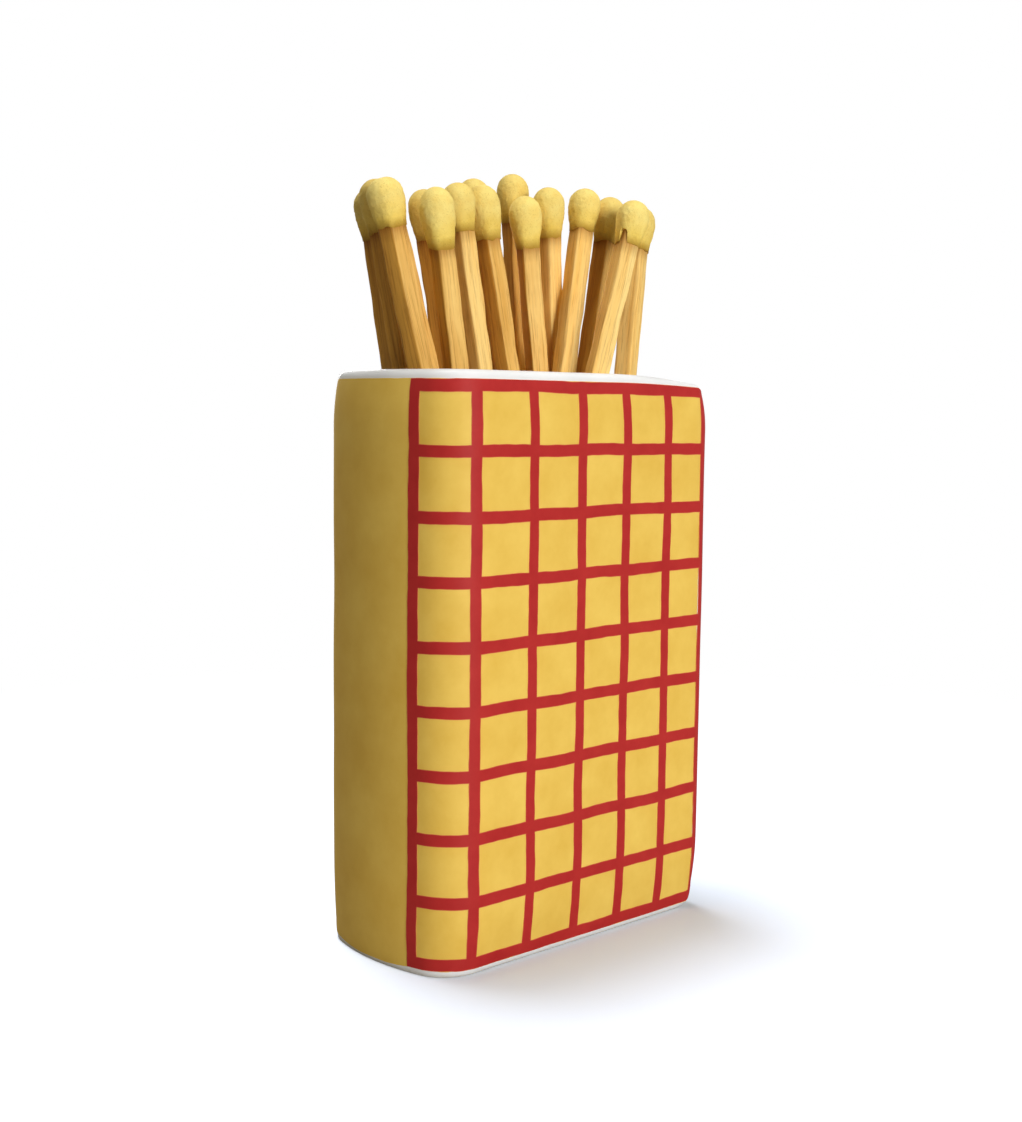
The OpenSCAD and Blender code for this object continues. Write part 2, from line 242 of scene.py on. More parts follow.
def pot_mesh():
    """Outer skin, rim, inner skin and floor in one grid, closed by the floor and the roof of the foot's hollow."""
    steps = {FRONT: 26, FORE_1: 8, FORE: 8, FORE_2: 8, BACK: 26, SPINE_1: 10, SPINE: 24, SPINE_2: 10}
    stations = [s + t for s, n in steps.items() for t in even(n)[:-1]]
    under_in = foot_draw + foot_in + foot_ring_w
    fore_under_in = foot_draw + fore_foot_in + foot_ring_w
    slope = foot_hollow / 2
    levels = [
        (under_in + slope, fore_under_in + slope, foot_hollow, foot_hollow, 0),
        (under_in + 0.15, fore_under_in + 0.15, 0.2, 0.2, 0),
        (under_in - 0.2, fore_under_in - 0.2, 0, 0, 0),
    ]
    heights = [foot_round * (1 - math.cos(math.radians(a))) for a in (0, 12, 24, 36, 48, 60, 72, 84)]
    heights += even(8, foot_round + 0.2, foot_draw_h) + even(24, foot_draw_h + 1, book_h - rim_draw_h)
    heights += even(8, book_h - rim_draw_h + 0.5, book_h - rim_round - 0.3)
    heights += [book_h - rim_round * (1 - math.sin(math.radians(a))) for a in (0, 12, 24, 36, 48, 60, 72, 82, 90)]
    for z in heights:
        inset, fore_inset, fore_z, sagging = outside(z)
        levels.append((inset, fore_inset, z, fore_z, sagging))
    levels += [inside("crown", t) for t in (0.85, 0.7, 0.55, 0.4, 0.25, 0.1, 0)]
    levels += [
        (wall, fore_wall, z, z, max(0, 1 - (book_h - 2 - z) / inner_sag_h) ** 2)
        for z in even(20, book_h - 2, floor_t + floor_fillet + 1)
    ]
    levels += [inside("floor", t) for t in (1, 0.8, 0.6, 0.4, 0.2, 0)]
    around, up = len(stations), len(levels) - 1
    bm = sheet(around, up, lambda i, j: on_pot(stations[i % around], levels[j]))
    bmesh.ops.remove_doubles(bm, verts=bm.verts, dist=0.0001)
    ends = [e for e in bm.edges if e.is_boundary]
    bmesh.ops.holes_fill(bm, edges=ends, sides=0)
    wide = [f for f in bm.faces if len(f.verts) > 4]
    bmesh.ops.poke(bm, faces=wide)
    bmesh.ops.recalc_face_normals(bm, faces=bm.faces)
    return bm


# The ribs under the foot belong to the same casting. They are prisms cut off by the hollow's outline.
rib_pitch = 1.2
rib_h = 0.6
rib_root = 0.3
rib_edge = 0.08
rib_margin = 1.2


def add_ribs(bm):
    """Ribs across the hollow, each a wedge whose narrow edge points down and whose root is in the roof."""
    inset = foot_draw + foot_in + foot_ring_w + rib_margin
    fore_inset = foot_draw + fore_foot_in + foot_ring_w + rib_margin
    first, last = spine_x + inset, fore_x - fore_inset
    ends = [outline(u, inset, fore_inset) for u in even(60, BACK, 8)]
    count = int((last - first) / rib_pitch)
    for k in range(count):
        x = first + (k + 0.5) * rib_pitch
        reach = max((p.y for p in ends if abs(p.x - x) < rib_pitch), default=half_d - inset)
        if reach < rib_pitch:
            continue
        made = bmesh.ops.create_cube(bm, size=1)["verts"]
        bmesh.ops.scale(bm, vec=(rib_pitch, 2 * reach, rib_h + rib_root), verts=made)
        bmesh.ops.translate(bm, vec=(x, 0, foot_hollow + (rib_root - rib_h) / 2), verts=made)
        low = [v for v in made if v.co.z < foot_hollow]
        bmesh.ops.scale(bm, vec=(rib_edge, 1, 1), verts=low, space=Matrix.Translation((-x, 0, 0)))
        for v in low:
            v.co.y -= math.copysign(rib_h / 2, v.co.y)


def new_material(name):
    made = bpy.data.materials.new(name)
    made.use_nodes = True
    return made, made.node_tree, made.node_tree.nodes["Principled BSDF"]


def add(tree, kind, inputs, **settings):
    """A shader node with its settings, and its inputs set to values or linked to other nodes' outputs."""
    node = tree.nodes.new(kind)
    for key, value in settings.items():
        setattr(node, key, value)
    for socket, value in inputs.items():
        if isinstance(value, bpy.types.NodeSocket):
            tree.links.new(value, node.inputs[socket])
        else:
            node.inputs[socket].default_value = value
    return node


def ramp(tree, value, *stops):
    """A colour ramp through stops of (place, colour)."""
    node = add(tree, "ShaderNodeValToRGB", {"Fac": value})
    while len(node.color_ramp.elements) < len(stops):
        node.color_ramp.elements.new(0.5)
    for element, (place, colour) in zip(node.color_ramp.elements, stops):
        element.position = place
        element.color = (*colour, 1)
    return node.outputs["Color"]


def noise_of(tree, where, size_mm, detail=3, rough=0.5, stretch=None):
    """Noise whose blobs are about size_mm wide on coordinates in metres."""
    scale = 1 / (size_mm * MM)
    if stretch:
        where = add(tree, "ShaderNodeMapping", {"Vector": where, "Scale": stretch}).outputs["Vector"]
    settings = {"Vector": where, "Scale": scale, "Detail": detail, "Roughness": rough}
    return add(tree, "ShaderNodeTexNoise", settings).outputs["Fac"]


glaze_shine = 0.11
clear_gloss = 0.3


def glaze_gloss(tree, shader, where, gloss):
    """The gloss of a fired glaze: clear, a little uneven and faintly rippled, as all the pot's glazes are."""
    cloud = noise_of(tree, where, 9)
    rough = add(tree, "ShaderNodeMapRange", {"Value": cloud, "To Min": gloss - 0.05, "To Max": gloss + 0.07})
    ripple = noise_of(tree, where, 2.2, detail=2)
    bump = add(tree, "ShaderNodeBump", {"Height": ripple, "Strength": 0.35, "Distance": 0.00004})
    tree.links.new(rough.outputs["Result"], shader.inputs["Roughness"])
    tree.links.new(bump.outputs["Normal"], shader.inputs["Normal"])
    shader.inputs["Specular IOR Level"].default_value = glaze_shine


def porcelain():
    """White glaze, faintly cool and a little uneven in tone. The foot is bare and matt up to a ragged glaze line."""
    made, tree, shader = new_material("porcelain")
    where = add(tree, "ShaderNodeTexCoord", {}).outputs["Object"]
    height = add(tree, "ShaderNodeSeparateXYZ", {"Vector": where}).outputs["Z"]
    white = ramp(tree, noise_of(tree, where, 6), (0.35, (0.80, 0.81, 0.82)), (0.65, (0.86, 0.865, 0.87)))
    bare_speck = noise_of(tree, where, 0.5, detail=4, rough=0.7)
    bare = ramp(tree, bare_speck, (0.3, (0.66, 0.64, 0.60)), (0.6, (0.74, 0.725, 0.69)))
    glaze_edge = noise_of(tree, where, 3)
    line = add(tree, "ShaderNodeMath", {0: glaze_edge, 1: 0.0004}, operation="MULTIPLY").outputs["Value"]
    over = add(tree, "ShaderNodeMath", {0: height, 1: line}, operation="SUBTRACT").outputs["Value"]
    glaze_line = {"Value": over, "From Min": 0.00005, "From Max": 0.00035}
    glazed = add(tree, "ShaderNodeMapRange", glaze_line).outputs["Result"]
    colour = add(tree, "ShaderNodeMix", {"Factor": glazed, 6: bare, 7: white}, data_type="RGBA")
    tree.links.new(colour.outputs[2], shader.inputs["Base Color"])
    glaze_gloss(tree, shader, where, clear_gloss)
    gloss = shader.inputs["Roughness"].links[0].from_socket
    rough = add(tree, "ShaderNodeMix", {"Factor": glazed, "A": 0.75, "B": gloss})
    tree.links.new(rough.outputs["Result"], shader.inputs["Roughness"])
    return made


pot = pot_mesh()
add_ribs(pot)
finish_piece(pot, "porcelain_pot", porcelain(), "vessel", slot="porcelain")

# The yellow glaze. A field of glossy yellow brushed over the covers and the spine of the white pot. It
# stops short of the rim and the foot, and leaves the fore-edge white like the pages of a book.
glaze_lift = 0.05
skin_t = 0.08
colour_gloss = 0.5
foot_band = 0.9
ragged_edge = 0.12
spine_dip = 0.4
spine_dip_end = 6.86
last_line_past = 1
line_w = 1.7
print_climb = 0.85 * rim_round
print_top = book_h - rim_round
front_run = (fore_x - fore_corner) - spine_corner_at(0)[1]
corner_run = fore_corner * math.pi / 2
fore_end = FORE_1 + (last_line_past + line_w / 2) / corner_run


def print_height(u, z):
    """The height at which a mark on the glaze lies. At the fore-edge corners its top climbs over the rim's rounding."""
    climb = print_climb * min(1, 2 * fore_share(u))
    return min(z, print_top) + climb * max(0, min(1, (z - print_top) / line_w + 1))


def glaze_heights():
    """Rows of the glaze, close together where the foot and the rim are rounded."""
    low = [foot_band, 1.2, 1.6, 2.1, 2.6] + even(8, 3.2, foot_draw_h)
    return low + even(36, foot_draw_h + 1, book_h - rim_draw_h) + even(10, book_h - rim_draw_h + 0.6, print_top)


def yellow_mesh():
    heights = glaze_heights()
    round_spine = [s + t for s, n in ((SPINE_1, 10), (SPINE, 24), (SPINE_2, 10)) for t in even(n)[:-1]]
    stations = [5 - fore_end] + even(30, 4, 5)[:-1] + round_spine + even(30, 8, 9) + [8 + fore_end]

    def place(i, j):
        u, z = stations[i], heights[j]
        if j in (0, len(heights) - 1):
            z += ragged_edge * noise.noise(Vector((u * 6, z * 0.3, 7)))
        if j == 0:
            z -= spine_dip * max(0, min(1, 5 * (u - SPINE), 5 * (spine_dip_end - u)))
        return on_outside(u, print_height(u, z), glaze_lift)

    bm = sheet(len(stations) - 1, len(heights) - 1, place)
    bmesh.ops.recalc_face_normals(bm, faces=bm.faces)
    return bm


def thicken(bm, t):
    """Gives a skin its thickness on the side of the pot, with its face kept where it is."""
    outward = sum(f.normal.dot(f.calc_center_median()) for f in bm.faces)
    if outward < 0:
        bmesh.ops.reverse_faces(bm, faces=bm.faces)
    bmesh.ops.solidify(bm, geom=bm.faces, thickness=t)
    bmesh.ops.recalc_face_normals(bm, faces=bm.faces)


def yellow_glaze():
    """Warm yellow, a little deeper where the glaze lies thick."""
    made, tree, shader = new_material("yellow_glaze")
    where = add(tree, "ShaderNodeTexCoord", {}).outputs["Object"]
    cloud = noise_of(tree, where, 7, detail=4, rough=0.6)
    colour = ramp(tree, cloud, (0.3, (0.78, 0.50, 0.085)), (0.7, (0.87, 0.60, 0.125)))
    tree.links.new(colour, shader.inputs["Base Color"])
    glaze_gloss(tree, shader, where, colour_gloss)
    return made


yellow = yellow_mesh()
thicken(yellow, skin_t)
finish_piece(yellow, "yellow_glaze_field", yellow_glaze(), "yellow_glaze", slot="yellow_glaze")

# The check. Red lines drawn by hand on a transfer, laid over the yellow of each cover and fired on. They
# wander a little, and the colour is thin and paler along their edges.
red_lift = 0.09
check_rows = 9
column_widths = (8.75, 10, 9.1, 8.8, 8.6, 8.1)
front_line_back = 10.4
back_line_back = 4.7
row_bottom = foot_band + line_w / 2
row_top = print_top - line_w / 2
check_step = 0.45
hand_drift = 0.2
slow_drift, quick_drift, quick_share = 0.11, 0.55, 0.35
pale_edge = 0.14


def columns(first_back):
    shares = [sum(column_widths[:n]) / sum(column_widths) for n in range(len(column_widths) + 1)]
    return [mix(-first_back, front_run + last_line_past, share) for share in shares]


def rows():
    return even(check_rows, row_bottom, row_top)


def marks(centres):
    """Places along one way of the check: both edges of each line, its pale borders, and the way between them."""
    places = []
    for n, centre in enumerate(centres):
        low, high = centre - line_w / 2, centre + line_w / 2
        inner = even(3, low + pale_edge, high - pale_edge)
        places += [(low, True), *((p, True) for p in inner), (high, False)]
        if n < len(centres) - 1:
            gap = centres[n + 1] - line_w / 2 - high
            cuts = round(gap / check_step)
            places += [(high + gap * k / cuts, False) for k in range(1, cuts)]
    return places


def along_front(distance):
    """The place on the outline at a distance along the surface from the spine end of the front cover."""
    if distance > front_run:
        return 8 + FORE_1 + (distance - front_run) / corner_run
    if distance > 0:
        return 8 + distance / front_run
    r, _, _, turn = spine_corner_at(0)
    spine_corner_run = r * (math.pi / 2 - turn)
    if distance > -spine_corner_run:
        return 8 + distance / spine_corner_run
    return 7 + (distance + spine_corner_run) / (bow_r * 2 * turn)


def check_mesh(seed, back):
    centres = columns(back_line_back if back else front_line_back)
    across, up = marks(centres), marks(rows())

    def place(i, j):
        s, z = across[i][0], up[j][0]
        slow = Vector((s * slow_drift, z * slow_drift, seed))
        quick = Vector((s * quick_drift, z * quick_drift, seed + 9))
        other = Vector((0, 0, 4))
        s += hand_drift * (noise.noise(slow) + quick_share * noise.noise(quick))
        z += hand_drift * (noise.noise(slow + other) + quick_share * noise.noise(quick + other))
        u = along_front(min(s, centres[-1] + line_w / 2))
        if back:
            u = FRONT + 8 + BACK + 1 - u
        return on_outside(u, print_height(u, max(foot_band, z)), red_lift)

    bm = sheet(len(across) - 1, len(up) - 1, place)
    uv = bm.loops.layers.uv.active
    bare = []
    for face in bm.faces:
        middle = sum((loop[uv].uv for loop in face.loops), Vector((0, 0))) / 4
        i, j = int(middle.x * (len(across) - 1)), int(middle.y * (len(up) - 1))
        if not across[i][1] and not up[j][1]:
            bare.append(face)
    bmesh.ops.delete(bm, geom=bare, context="FACES")
    pale = bm.verts.layers.float.new("pale")
    for v in bm.verts:
        v[pale] = 1 if v.is_boundary else 0
    bmesh.ops.recalc_face_normals(bm, faces=bm.faces)
    thicken(bm, skin_t)
    return bm


def red_print():
    """Brick red, mottled where the transfer took unevenly, and pinkish where it thins out at its edges."""
    made, tree, shader = new_material("red_print")
    where = add(tree, "ShaderNodeTexCoord", {}).outputs["Object"]
    cloud = noise_of(tree, where, 4, detail=4, rough=0.65)
    red = ramp(tree, cloud, (0.3, (0.42, 0.022, 0.022)), (0.7, (0.48, 0.030, 0.028)))
    thin = add(tree, "ShaderNodeAttribute", {}, attribute_name="pale").outputs["Fac"]
    pale = add(tree, "ShaderNodeMapRange", {"Value": thin, "From Min": 0.2, "To Max": 0.75}).outputs["Result"]
    colour = add(tree, "ShaderNodeMix", {"Factor": pale, 6: red, 7: (0.80, 0.27, 0.11, 1)}, data_type="RGBA")
    tree.links.new(colour.outputs[2], shader.inputs["Base Color"])
    glaze_gloss(tree, shader, where, colour_gloss)
    return made


red = red_print()
finish_piece(check_mesh(1, back=False), "front_check_print", red, "front_check", slot="red_print")
finish_piece(check_mesh(5, back=True), "back_check_print", red, "back_check", slot="red_print")

# The sticks. Square splints of aspen, cut from a peeled log, so that no two have quite the same edges, and
# each has its own tone from nearly white to brown; the two at the back of the left group are set darkest as
# painted shade. They stand loose on the floor of the pot.
stick_count = len([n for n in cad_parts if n.endswith("_stick")])
splint_w = 2.8
splint_edge = 0.22
splint_rings = 90
splint_thin = 0.035
splint_chip = 0.09
splint_bow = 0.25
splint_drift = 0.09
splint_twist = 0.16
stick_in_head = 4.6
head_l = 7.4
stain_run = 2.5
# Painted shade: the two faces of each stick turned most along X get their tone lowered, and the other two get a little
# painted light.
painted_shade_drop, painted_light_lift = -0.55, 0.05
dip_lengths = (7, 7.2, 6.5, 7, 7.2, 8, 6.7, 7, 7.8, 7.2, 7.4, 7.2, 6.4, 7.1, 6.8, 6.8)
# Each stick's own tone; matches 1 and 2, at the back of the left group, are set darkest, which is painted shade.
wood_tones_and_shade = (0, 0.1, 0.5, 0.4, 0.3, 0.4, 1, 0.5, 0.5, 0.4, 0.6, 1, 1.4, 0.4, 1, 1.6)


def match_frame(number):
    """The match's own frame from its CAD stick: Z up its length from the middle of its foot, X out of one side."""
    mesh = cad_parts[f"match_{number}_stick"].data
    points = [v.co for v in mesh.vertices]
    rough_way = max(points, key=lambda p: p.z) - min(points, key=lambda p: p.z)
    reach = [p.dot(rough_way.normalized()) for p in points]
    low, high = min(reach), max(reach)
    ends = []
    for end in (low, high):
        near = {tuple(round(c, 6) for c in p) for p, r in zip(points, reach) if abs(r - end) < 2 * MM}
        ends.append(sum((Vector(p) for p in near), Vector()) / len(near))
    way = (ends[1] - ends[0]).normalized()
    side = max(mesh.polygons, key=lambda f: f.area).normal
    side = (side - way * side.dot(way)).normalized()
    turn = Matrix((side, way.cross(side), way)).transposed().to_4x4()
    return Matrix.Translation(ends[0]) @ turn, (ends[1] - ends[0]).length / MM


def drifting(seed, height):
    """A sideways push that changes slowly with height and differs from match to match."""
    return Vector((noise.noise(Vector((seed, 4, height))), noise.noise(Vector((seed, 5, height))), 0))


def stick_mesh(length, coat_end, seed, tone, shaded_face):
    """A square bar, its edges broken, cut into short lengths and worn out of true. Two of its faces, the pair turned
    most along X, are painted darker as painted shade.
    """
    bm = bmesh.new()
    bmesh.ops.create_cube(bm, size=1)
    bmesh.ops.scale(bm, vec=(splint_w, splint_w, length), verts=bm.verts)
    bmesh.ops.translate(bm, vec=(0, 0, length / 2), verts=bm.verts)
    upright = [e for e in bm.edges if abs(e.verts[0].co.z - e.verts[1].co.z) > 1]
    bmesh.ops.bevel(
        bm, geom=upright, offset=splint_edge, offset_type="OFFSET", segments=2, profile=0.5, affect="EDGES", material=-1
    )
    for axis in ((1, 0, 0), (0, 1, 0)):
        for share in (-0.5, 0, 0.5):
            everything = [*bm.verts, *bm.edges, *bm.faces]
            spot = Vector(axis) * share * splint_w * 0.6
            bmesh.ops.bisect_plane(bm, geom=everything, plane_co=spot, plane_no=axis)
    for k in range(1, splint_rings):
        everything = [*bm.verts, *bm.edges, *bm.faces]
        ring = (0, 0, length * k / splint_rings)
        bmesh.ops.bisect_plane(bm, geom=everything, plane_co=ring, plane_no=(0, 0, 1))
    grain = bm.verts.layers.float_vector.new("grain")
    shade = bm.verts.layers.float.new("tone")
    stain = bm.verts.layers.float.new("stain")
    bow = Vector((noise.noise(Vector((seed, 1, 0))), noise.noise(Vector((seed, 2, 0))), 0)) * splint_bow
    for v in bm.verts:
        x, y, z = v.co
        v[grain] = Vector((x + seed * 7.3, y + seed * 3.1, z)) * MM
        # Painted shade on the faces turned along X, a touch of painted light on the other two.
        on_shaded = abs(v.co[shaded_face]) > abs(v.co[1 - shaded_face])
        v[shade] = tone + (painted_shade_drop if on_shaded else painted_light_lift)
        v[stain] = max(0, min(1, (z - coat_end) / stain_run + 1)) ** 2
        side = Vector((x, y, 0))
        corner = min(abs(x), abs(y)) / max(abs(x), abs(y), 0.01)
        face = noise.noise(Vector((round(x / 1.6) * 5 + seed, round(y / 1.6) * 5, z * 0.09)))
        chip = noise.noise(Vector((x * 0.9 + seed, y * 0.9, z * 0.28)))
        worn = (0.02 + splint_chip * corner**3) * max(0, 0.3 + chip)
        side *= 1 - splint_thin * (1 + face) - worn
        twist = splint_twist * noise.noise(Vector((seed, 3, z * 0.07)))
        side.rotate(Matrix.Rotation(twist, 3, "Z"))
        drift = splint_drift * drifting(seed, z * 0.13)
        v.co = side + drift + bow * math.sin(math.pi * z / length) + Vector((0, 0, z))
    return bm


def stand_in_pot(bm, place):
    """Moves a mesh in millimetres from the match's own frame to its place."""
    in_mm = Matrix.Scale(1 / MM, 4) @ place @ Matrix.Scale(MM, 4)
    bmesh.ops.transform(bm, matrix=in_mm, verts=bm.verts)


def splint_wood():
    """Raw aspen: fine straight grain, pale and dark streaks, and a brown stain just below the head. Its tone also
    carries painted shade on the faces turned along X. It is matt.
    """
    made, tree, shader = new_material("splint_wood")
    where = add(tree, "ShaderNodeAttribute", {}, attribute_name="grain").outputs["Vector"]
    tone = add(tree, "ShaderNodeAttribute", {}, attribute_name="tone").outputs["Fac"]
    streak = noise_of(tree, where, 1.3, detail=4, rough=0.6, stretch=(1, 1, 0.05))
    fibre = noise_of(tree, where, 0.28, detail=5, rough=0.7, stretch=(1, 1, 0.04))
    patch = noise_of(tree, where, 6, detail=4, rough=0.6, stretch=(1, 1, 0.4))
    pale = ramp(tree, streak, (0.3, (0.94, 0.56, 0.14)), (0.7, (1.0, 0.73, 0.27)))
    # The dark ramp serves the darker sticks and also the painted shade on the faces turned along X.
    dark = ramp(tree, streak, (0.3, (0.48, 0.22, 0.03)), (0.7, (0.80, 0.42, 0.07)))
    both = add(tree, "ShaderNodeMath", {0: patch, 1: tone}, operation="ADD").outputs["Value"]
    light = add(tree, "ShaderNodeMapRange", {"Value": both, "From Min": 0.5, "From Max": 1.4}).outputs["Result"]
    wood = add(tree, "ShaderNodeMix", {"Factor": light, 6: dark, 7: pale}, data_type="RGBA").outputs[2]
    lines = ramp(tree, fibre, (0.32, (0.60, 0.47, 0.34)), (0.5, (1, 1, 1)))
    grained = add(tree, "ShaderNodeMix", {"Factor": 0.85, 6: wood, 7: lines}, data_type="RGBA", blend_type="MULTIPLY")
    stain = add(tree, "ShaderNodeAttribute", {}, attribute_name="stain").outputs["Fac"]
    stained = {"Factor": stain, 6: grained.outputs[2], 7: (0.55, 0.43, 0.3, 1)}
    colour = add(tree, "ShaderNodeMix", stained, data_type="RGBA", blend_type="MULTIPLY")
    tree.links.new(colour.outputs[2], shader.inputs["Base Color"])
    shader.inputs["Roughness"].default_value = 0.72
    shader.inputs["Specular IOR Level"].default_value = 0.25
    rough = add(tree, "ShaderNodeMath", {0: fibre, 1: streak}, operation="ADD").outputs["Value"]
    bump = add(tree, "ShaderNodeBump", {"Height": rough, "Strength": 0.6, "Distance": 0.00008})
    tree.links.new(bump.outputs["Normal"], shader.inputs["Normal"])
    return made


wood = splint_wood()
for number in range(1, stick_count + 1):
    place, length = match_frame(number)
    coat_end = length - stick_in_head + head_l - dip_lengths[number - 1]
    # The pair of faces whose normals turn most along X takes the painted shade.
    shaded_face = 0 if abs(place[0][0]) > abs(place[0][1]) else 1
    bm = stick_mesh(length, coat_end, number, wood_tones_and_shade[number - 1], shaded_face)
    stand_in_pot(bm, place)
    finish_piece(bm, f"splint_{number}", wood, f"match_{number}_stick", slot="match_wood", smooth=35)

# The heads. Each splint was dipped in a thick yellow composition, which took on the square of the stick,
# swelled into a bulb, ran back to a ragged edge and dried matt with a fine grain.
head_flat = 2.28
neck_flat = 1.5
head_widest = 0.66
neck_square, bulb_square = 4.5, 2.2
head_around = 96
head_up = 44
head_crowding = 1.25
ragged_coat = 0.35
coat_tuck = (0.75, 0.93)
lump_depth, lump_scale = 0.03, 0.5
grit_depth, grit_scale = 0.03, 2.2
notched = 15
notch_h = 1.9
notch_half_angle = 0.4
notch_side = Vector((-1, -0.3, 0))
# Each head's own tone; the heads at the back of the bundle are set darker, which is painted shade.
head_tones_and_shade = (0.3, 0.5, 1, 0.9, 0.55, 1, 0.8, 0.65, 0.85, 0.7, 1, 0.85, 0.9, 0.6, 1, 0.7)


def head_profile(t):
    """Half the width across the flats, and how square the section is, at share t of the head's height."""
    if t < head_widest:
        rise = t / head_widest
        swell = mix(math.sin(math.pi / 2 * rise), rise**2 * (3 - 2 * rise), 0.6)
        return mix(neck_flat, head_flat, swell), mix(neck_square, bulb_square, math.sqrt(rise))
    dome = (t - head_widest) / (1 - head_widest)
    return head_flat * math.sqrt(max(0, 1 - dome**2)), mix(bulb_square, 2, dome)


def head_mesh(length, dip_l, seed, tone, notch=None):
    """A grid wrapped round the stick's end, from the ragged edge of the dip up to the tip."""

    def place(i, j):
        a = 2 * math.pi * i / head_around
        c, s = math.cos(a), math.sin(a)
        edge = ragged_coat * noise.noise(Vector((c * 1.5, s * 1.5, seed)))
        if notch is not None:
            away = abs((a - notch + math.pi) % (2 * math.pi) - math.pi)
            edge += notch_h * max(0, 1 - (away / notch_half_angle) ** 3) ** 0.4
        if j < 2:
            t, draw = 0, coat_tuck[j]
        else:
            t, draw = 1 - (1 - (j - 2) / (head_up - 2)) ** head_crowding, 1
        z = mix(edge, dip_l, t)
        flat, square = head_profile(max(t, z / dip_l))
        r = flat * draw / (abs(c) ** square + abs(s) ** square) ** (1 / square)
        spot, other = Vector((c * r, s * r, z)), Vector((0, 0, seed * 5))
        lump = lump_depth * noise.noise(spot * lump_scale + other)
        grit = grit_depth * noise.noise(spot * grit_scale + other)
        r = max(0, r * (1 + (lump + grit) * min(1, t * 6)))
        return Vector((c * r, s * r, length - dip_l + z))

    bm = sheet(head_around, head_up, place)
    bmesh.ops.remove_doubles(bm, verts=bm.verts, dist=0.001)
    bmesh.ops.holes_fill(bm, edges=[e for e in bm.edges if e.is_boundary], sides=0)
    bmesh.ops.poke(bm, faces=[f for f in bm.faces if len(f.verts) > 4])
    bmesh.ops.recalc_face_normals(bm, faces=bm.faces)
    grain = bm.verts.layers.float_vector.new("grain")
    dip = bm.verts.layers.float.new("dip")
    shade = bm.verts.layers.float.new("tone")
    for v in bm.verts:
        v[shade] = tone
        v[grain] = (v.co + Vector((seed * 11, 0, -length))) * MM
        v[dip] = (v.co.z - length + dip_l) / dip_l
    return bm


def head_composition():
    """Sulphur yellow, painted lighter at the top as light from above and darker low down as shade, and darker still at
    the ragged edge, where the coat is thin over the wood. Each head has its own tone, set darker on the heads at the
    back of the bundle as painted shade.
    """
    made, tree, shader = new_material("head_composition")
    where = add(tree, "ShaderNodeAttribute", {}, attribute_name="grain").outputs["Vector"]
    dip = add(tree, "ShaderNodeAttribute", {}, attribute_name="dip").outputs["Fac"]
    cloud = noise_of(tree, where, 1.6, detail=3)
    grit = noise_of(tree, where, 0.22, detail=4, rough=0.7)
    # Painted light and shade: the top colour is lighter, as lit from above, and the low colour darker.
    yellow_top_lit = ramp(tree, cloud, (0.3, (0.97, 0.72, 0.19)), (0.7, (1.0, 0.81, 0.26)))
    yellow_low_shaded = ramp(tree, cloud, (0.3, (0.80, 0.56, 0.075)), (0.7, (0.92, 0.66, 0.12)))
    up = add(tree, "ShaderNodeMapRange", {"Value": dip, "From Min": 0.0, "From Max": 0.55}).outputs["Result"]
    yellow = add(tree, "ShaderNodeMix", {"Factor": up, 6: yellow_low_shaded, 7: yellow_top_lit}, data_type="RGBA").outputs[2]
    specks = ramp(tree, grit, (0.32, (0.70, 0.64, 0.45)), (0.45, (1, 1, 1)))
    coat = add(tree, "ShaderNodeMix", {"Factor": 0.6, 6: yellow, 7: specks}, data_type="RGBA", blend_type="MULTIPLY")
    edge = ramp(tree, dip, (0.0, (0.52, 0.42, 0.32)), (0.2, (1, 1, 1)))
    thin = {"Factor": 1, 6: coat.outputs[2], 7: edge}
    thinned = add(tree, "ShaderNodeMix", thin, data_type="RGBA", blend_type="MULTIPLY")
    tone = add(tree, "ShaderNodeAttribute", {}, attribute_name="tone").outputs["Fac"]
    # Darkens each head by its tone, which includes painted shade on the heads at the back.
    tone_and_shade = ramp(tree, tone, (0, (0.72, 0.64, 0.52)), (1, (1, 1, 1)))
    toned = {"Factor": 1, 6: thinned.outputs[2], 7: tone_and_shade}
    colour = add(tree, "ShaderNodeMix", toned, data_type="RGBA", blend_type="MULTIPLY")
    tree.links.new(colour.outputs[2], shader.inputs["Base Color"])
    shader.inputs["Roughness"].default_value = 0.8
    shader.inputs["Specular IOR Level"].default_value = 0.25
    peel = noise_of(tree, where, 0.6, detail=3, rough=0.6)
    height = add(tree, "ShaderNodeMath", {0: grit, 1: peel}, operation="ADD").outputs["Value"]
    bump = add(tree, "ShaderNodeBump", {"Height": height, "Strength": 0.7, "Distance": 0.00016})
    tree.links.new(bump.outputs["Normal"], shader.inputs["Normal"])
    return made


composition = head_composition()
for number in range(1, stick_count + 1):
    place, _ = match_frame(number)
    back = place.inverted()
    reach = [(back @ v.co).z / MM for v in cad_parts[f"match_{number}_head"].data.vertices]
    notch_way = back.to_3x3() @ notch_side
    notch = math.atan2(notch_way.y, notch_way.x) if number == notched else None
    bm = head_mesh(max(reach), dip_lengths[number - 1], number, head_tones_and_shade[number - 1], notch)
    stand_in_pot(bm, place)
    finish_piece(bm, f"dipped_head_{number}", composition, f"match_{number}_head", slot="match_head")

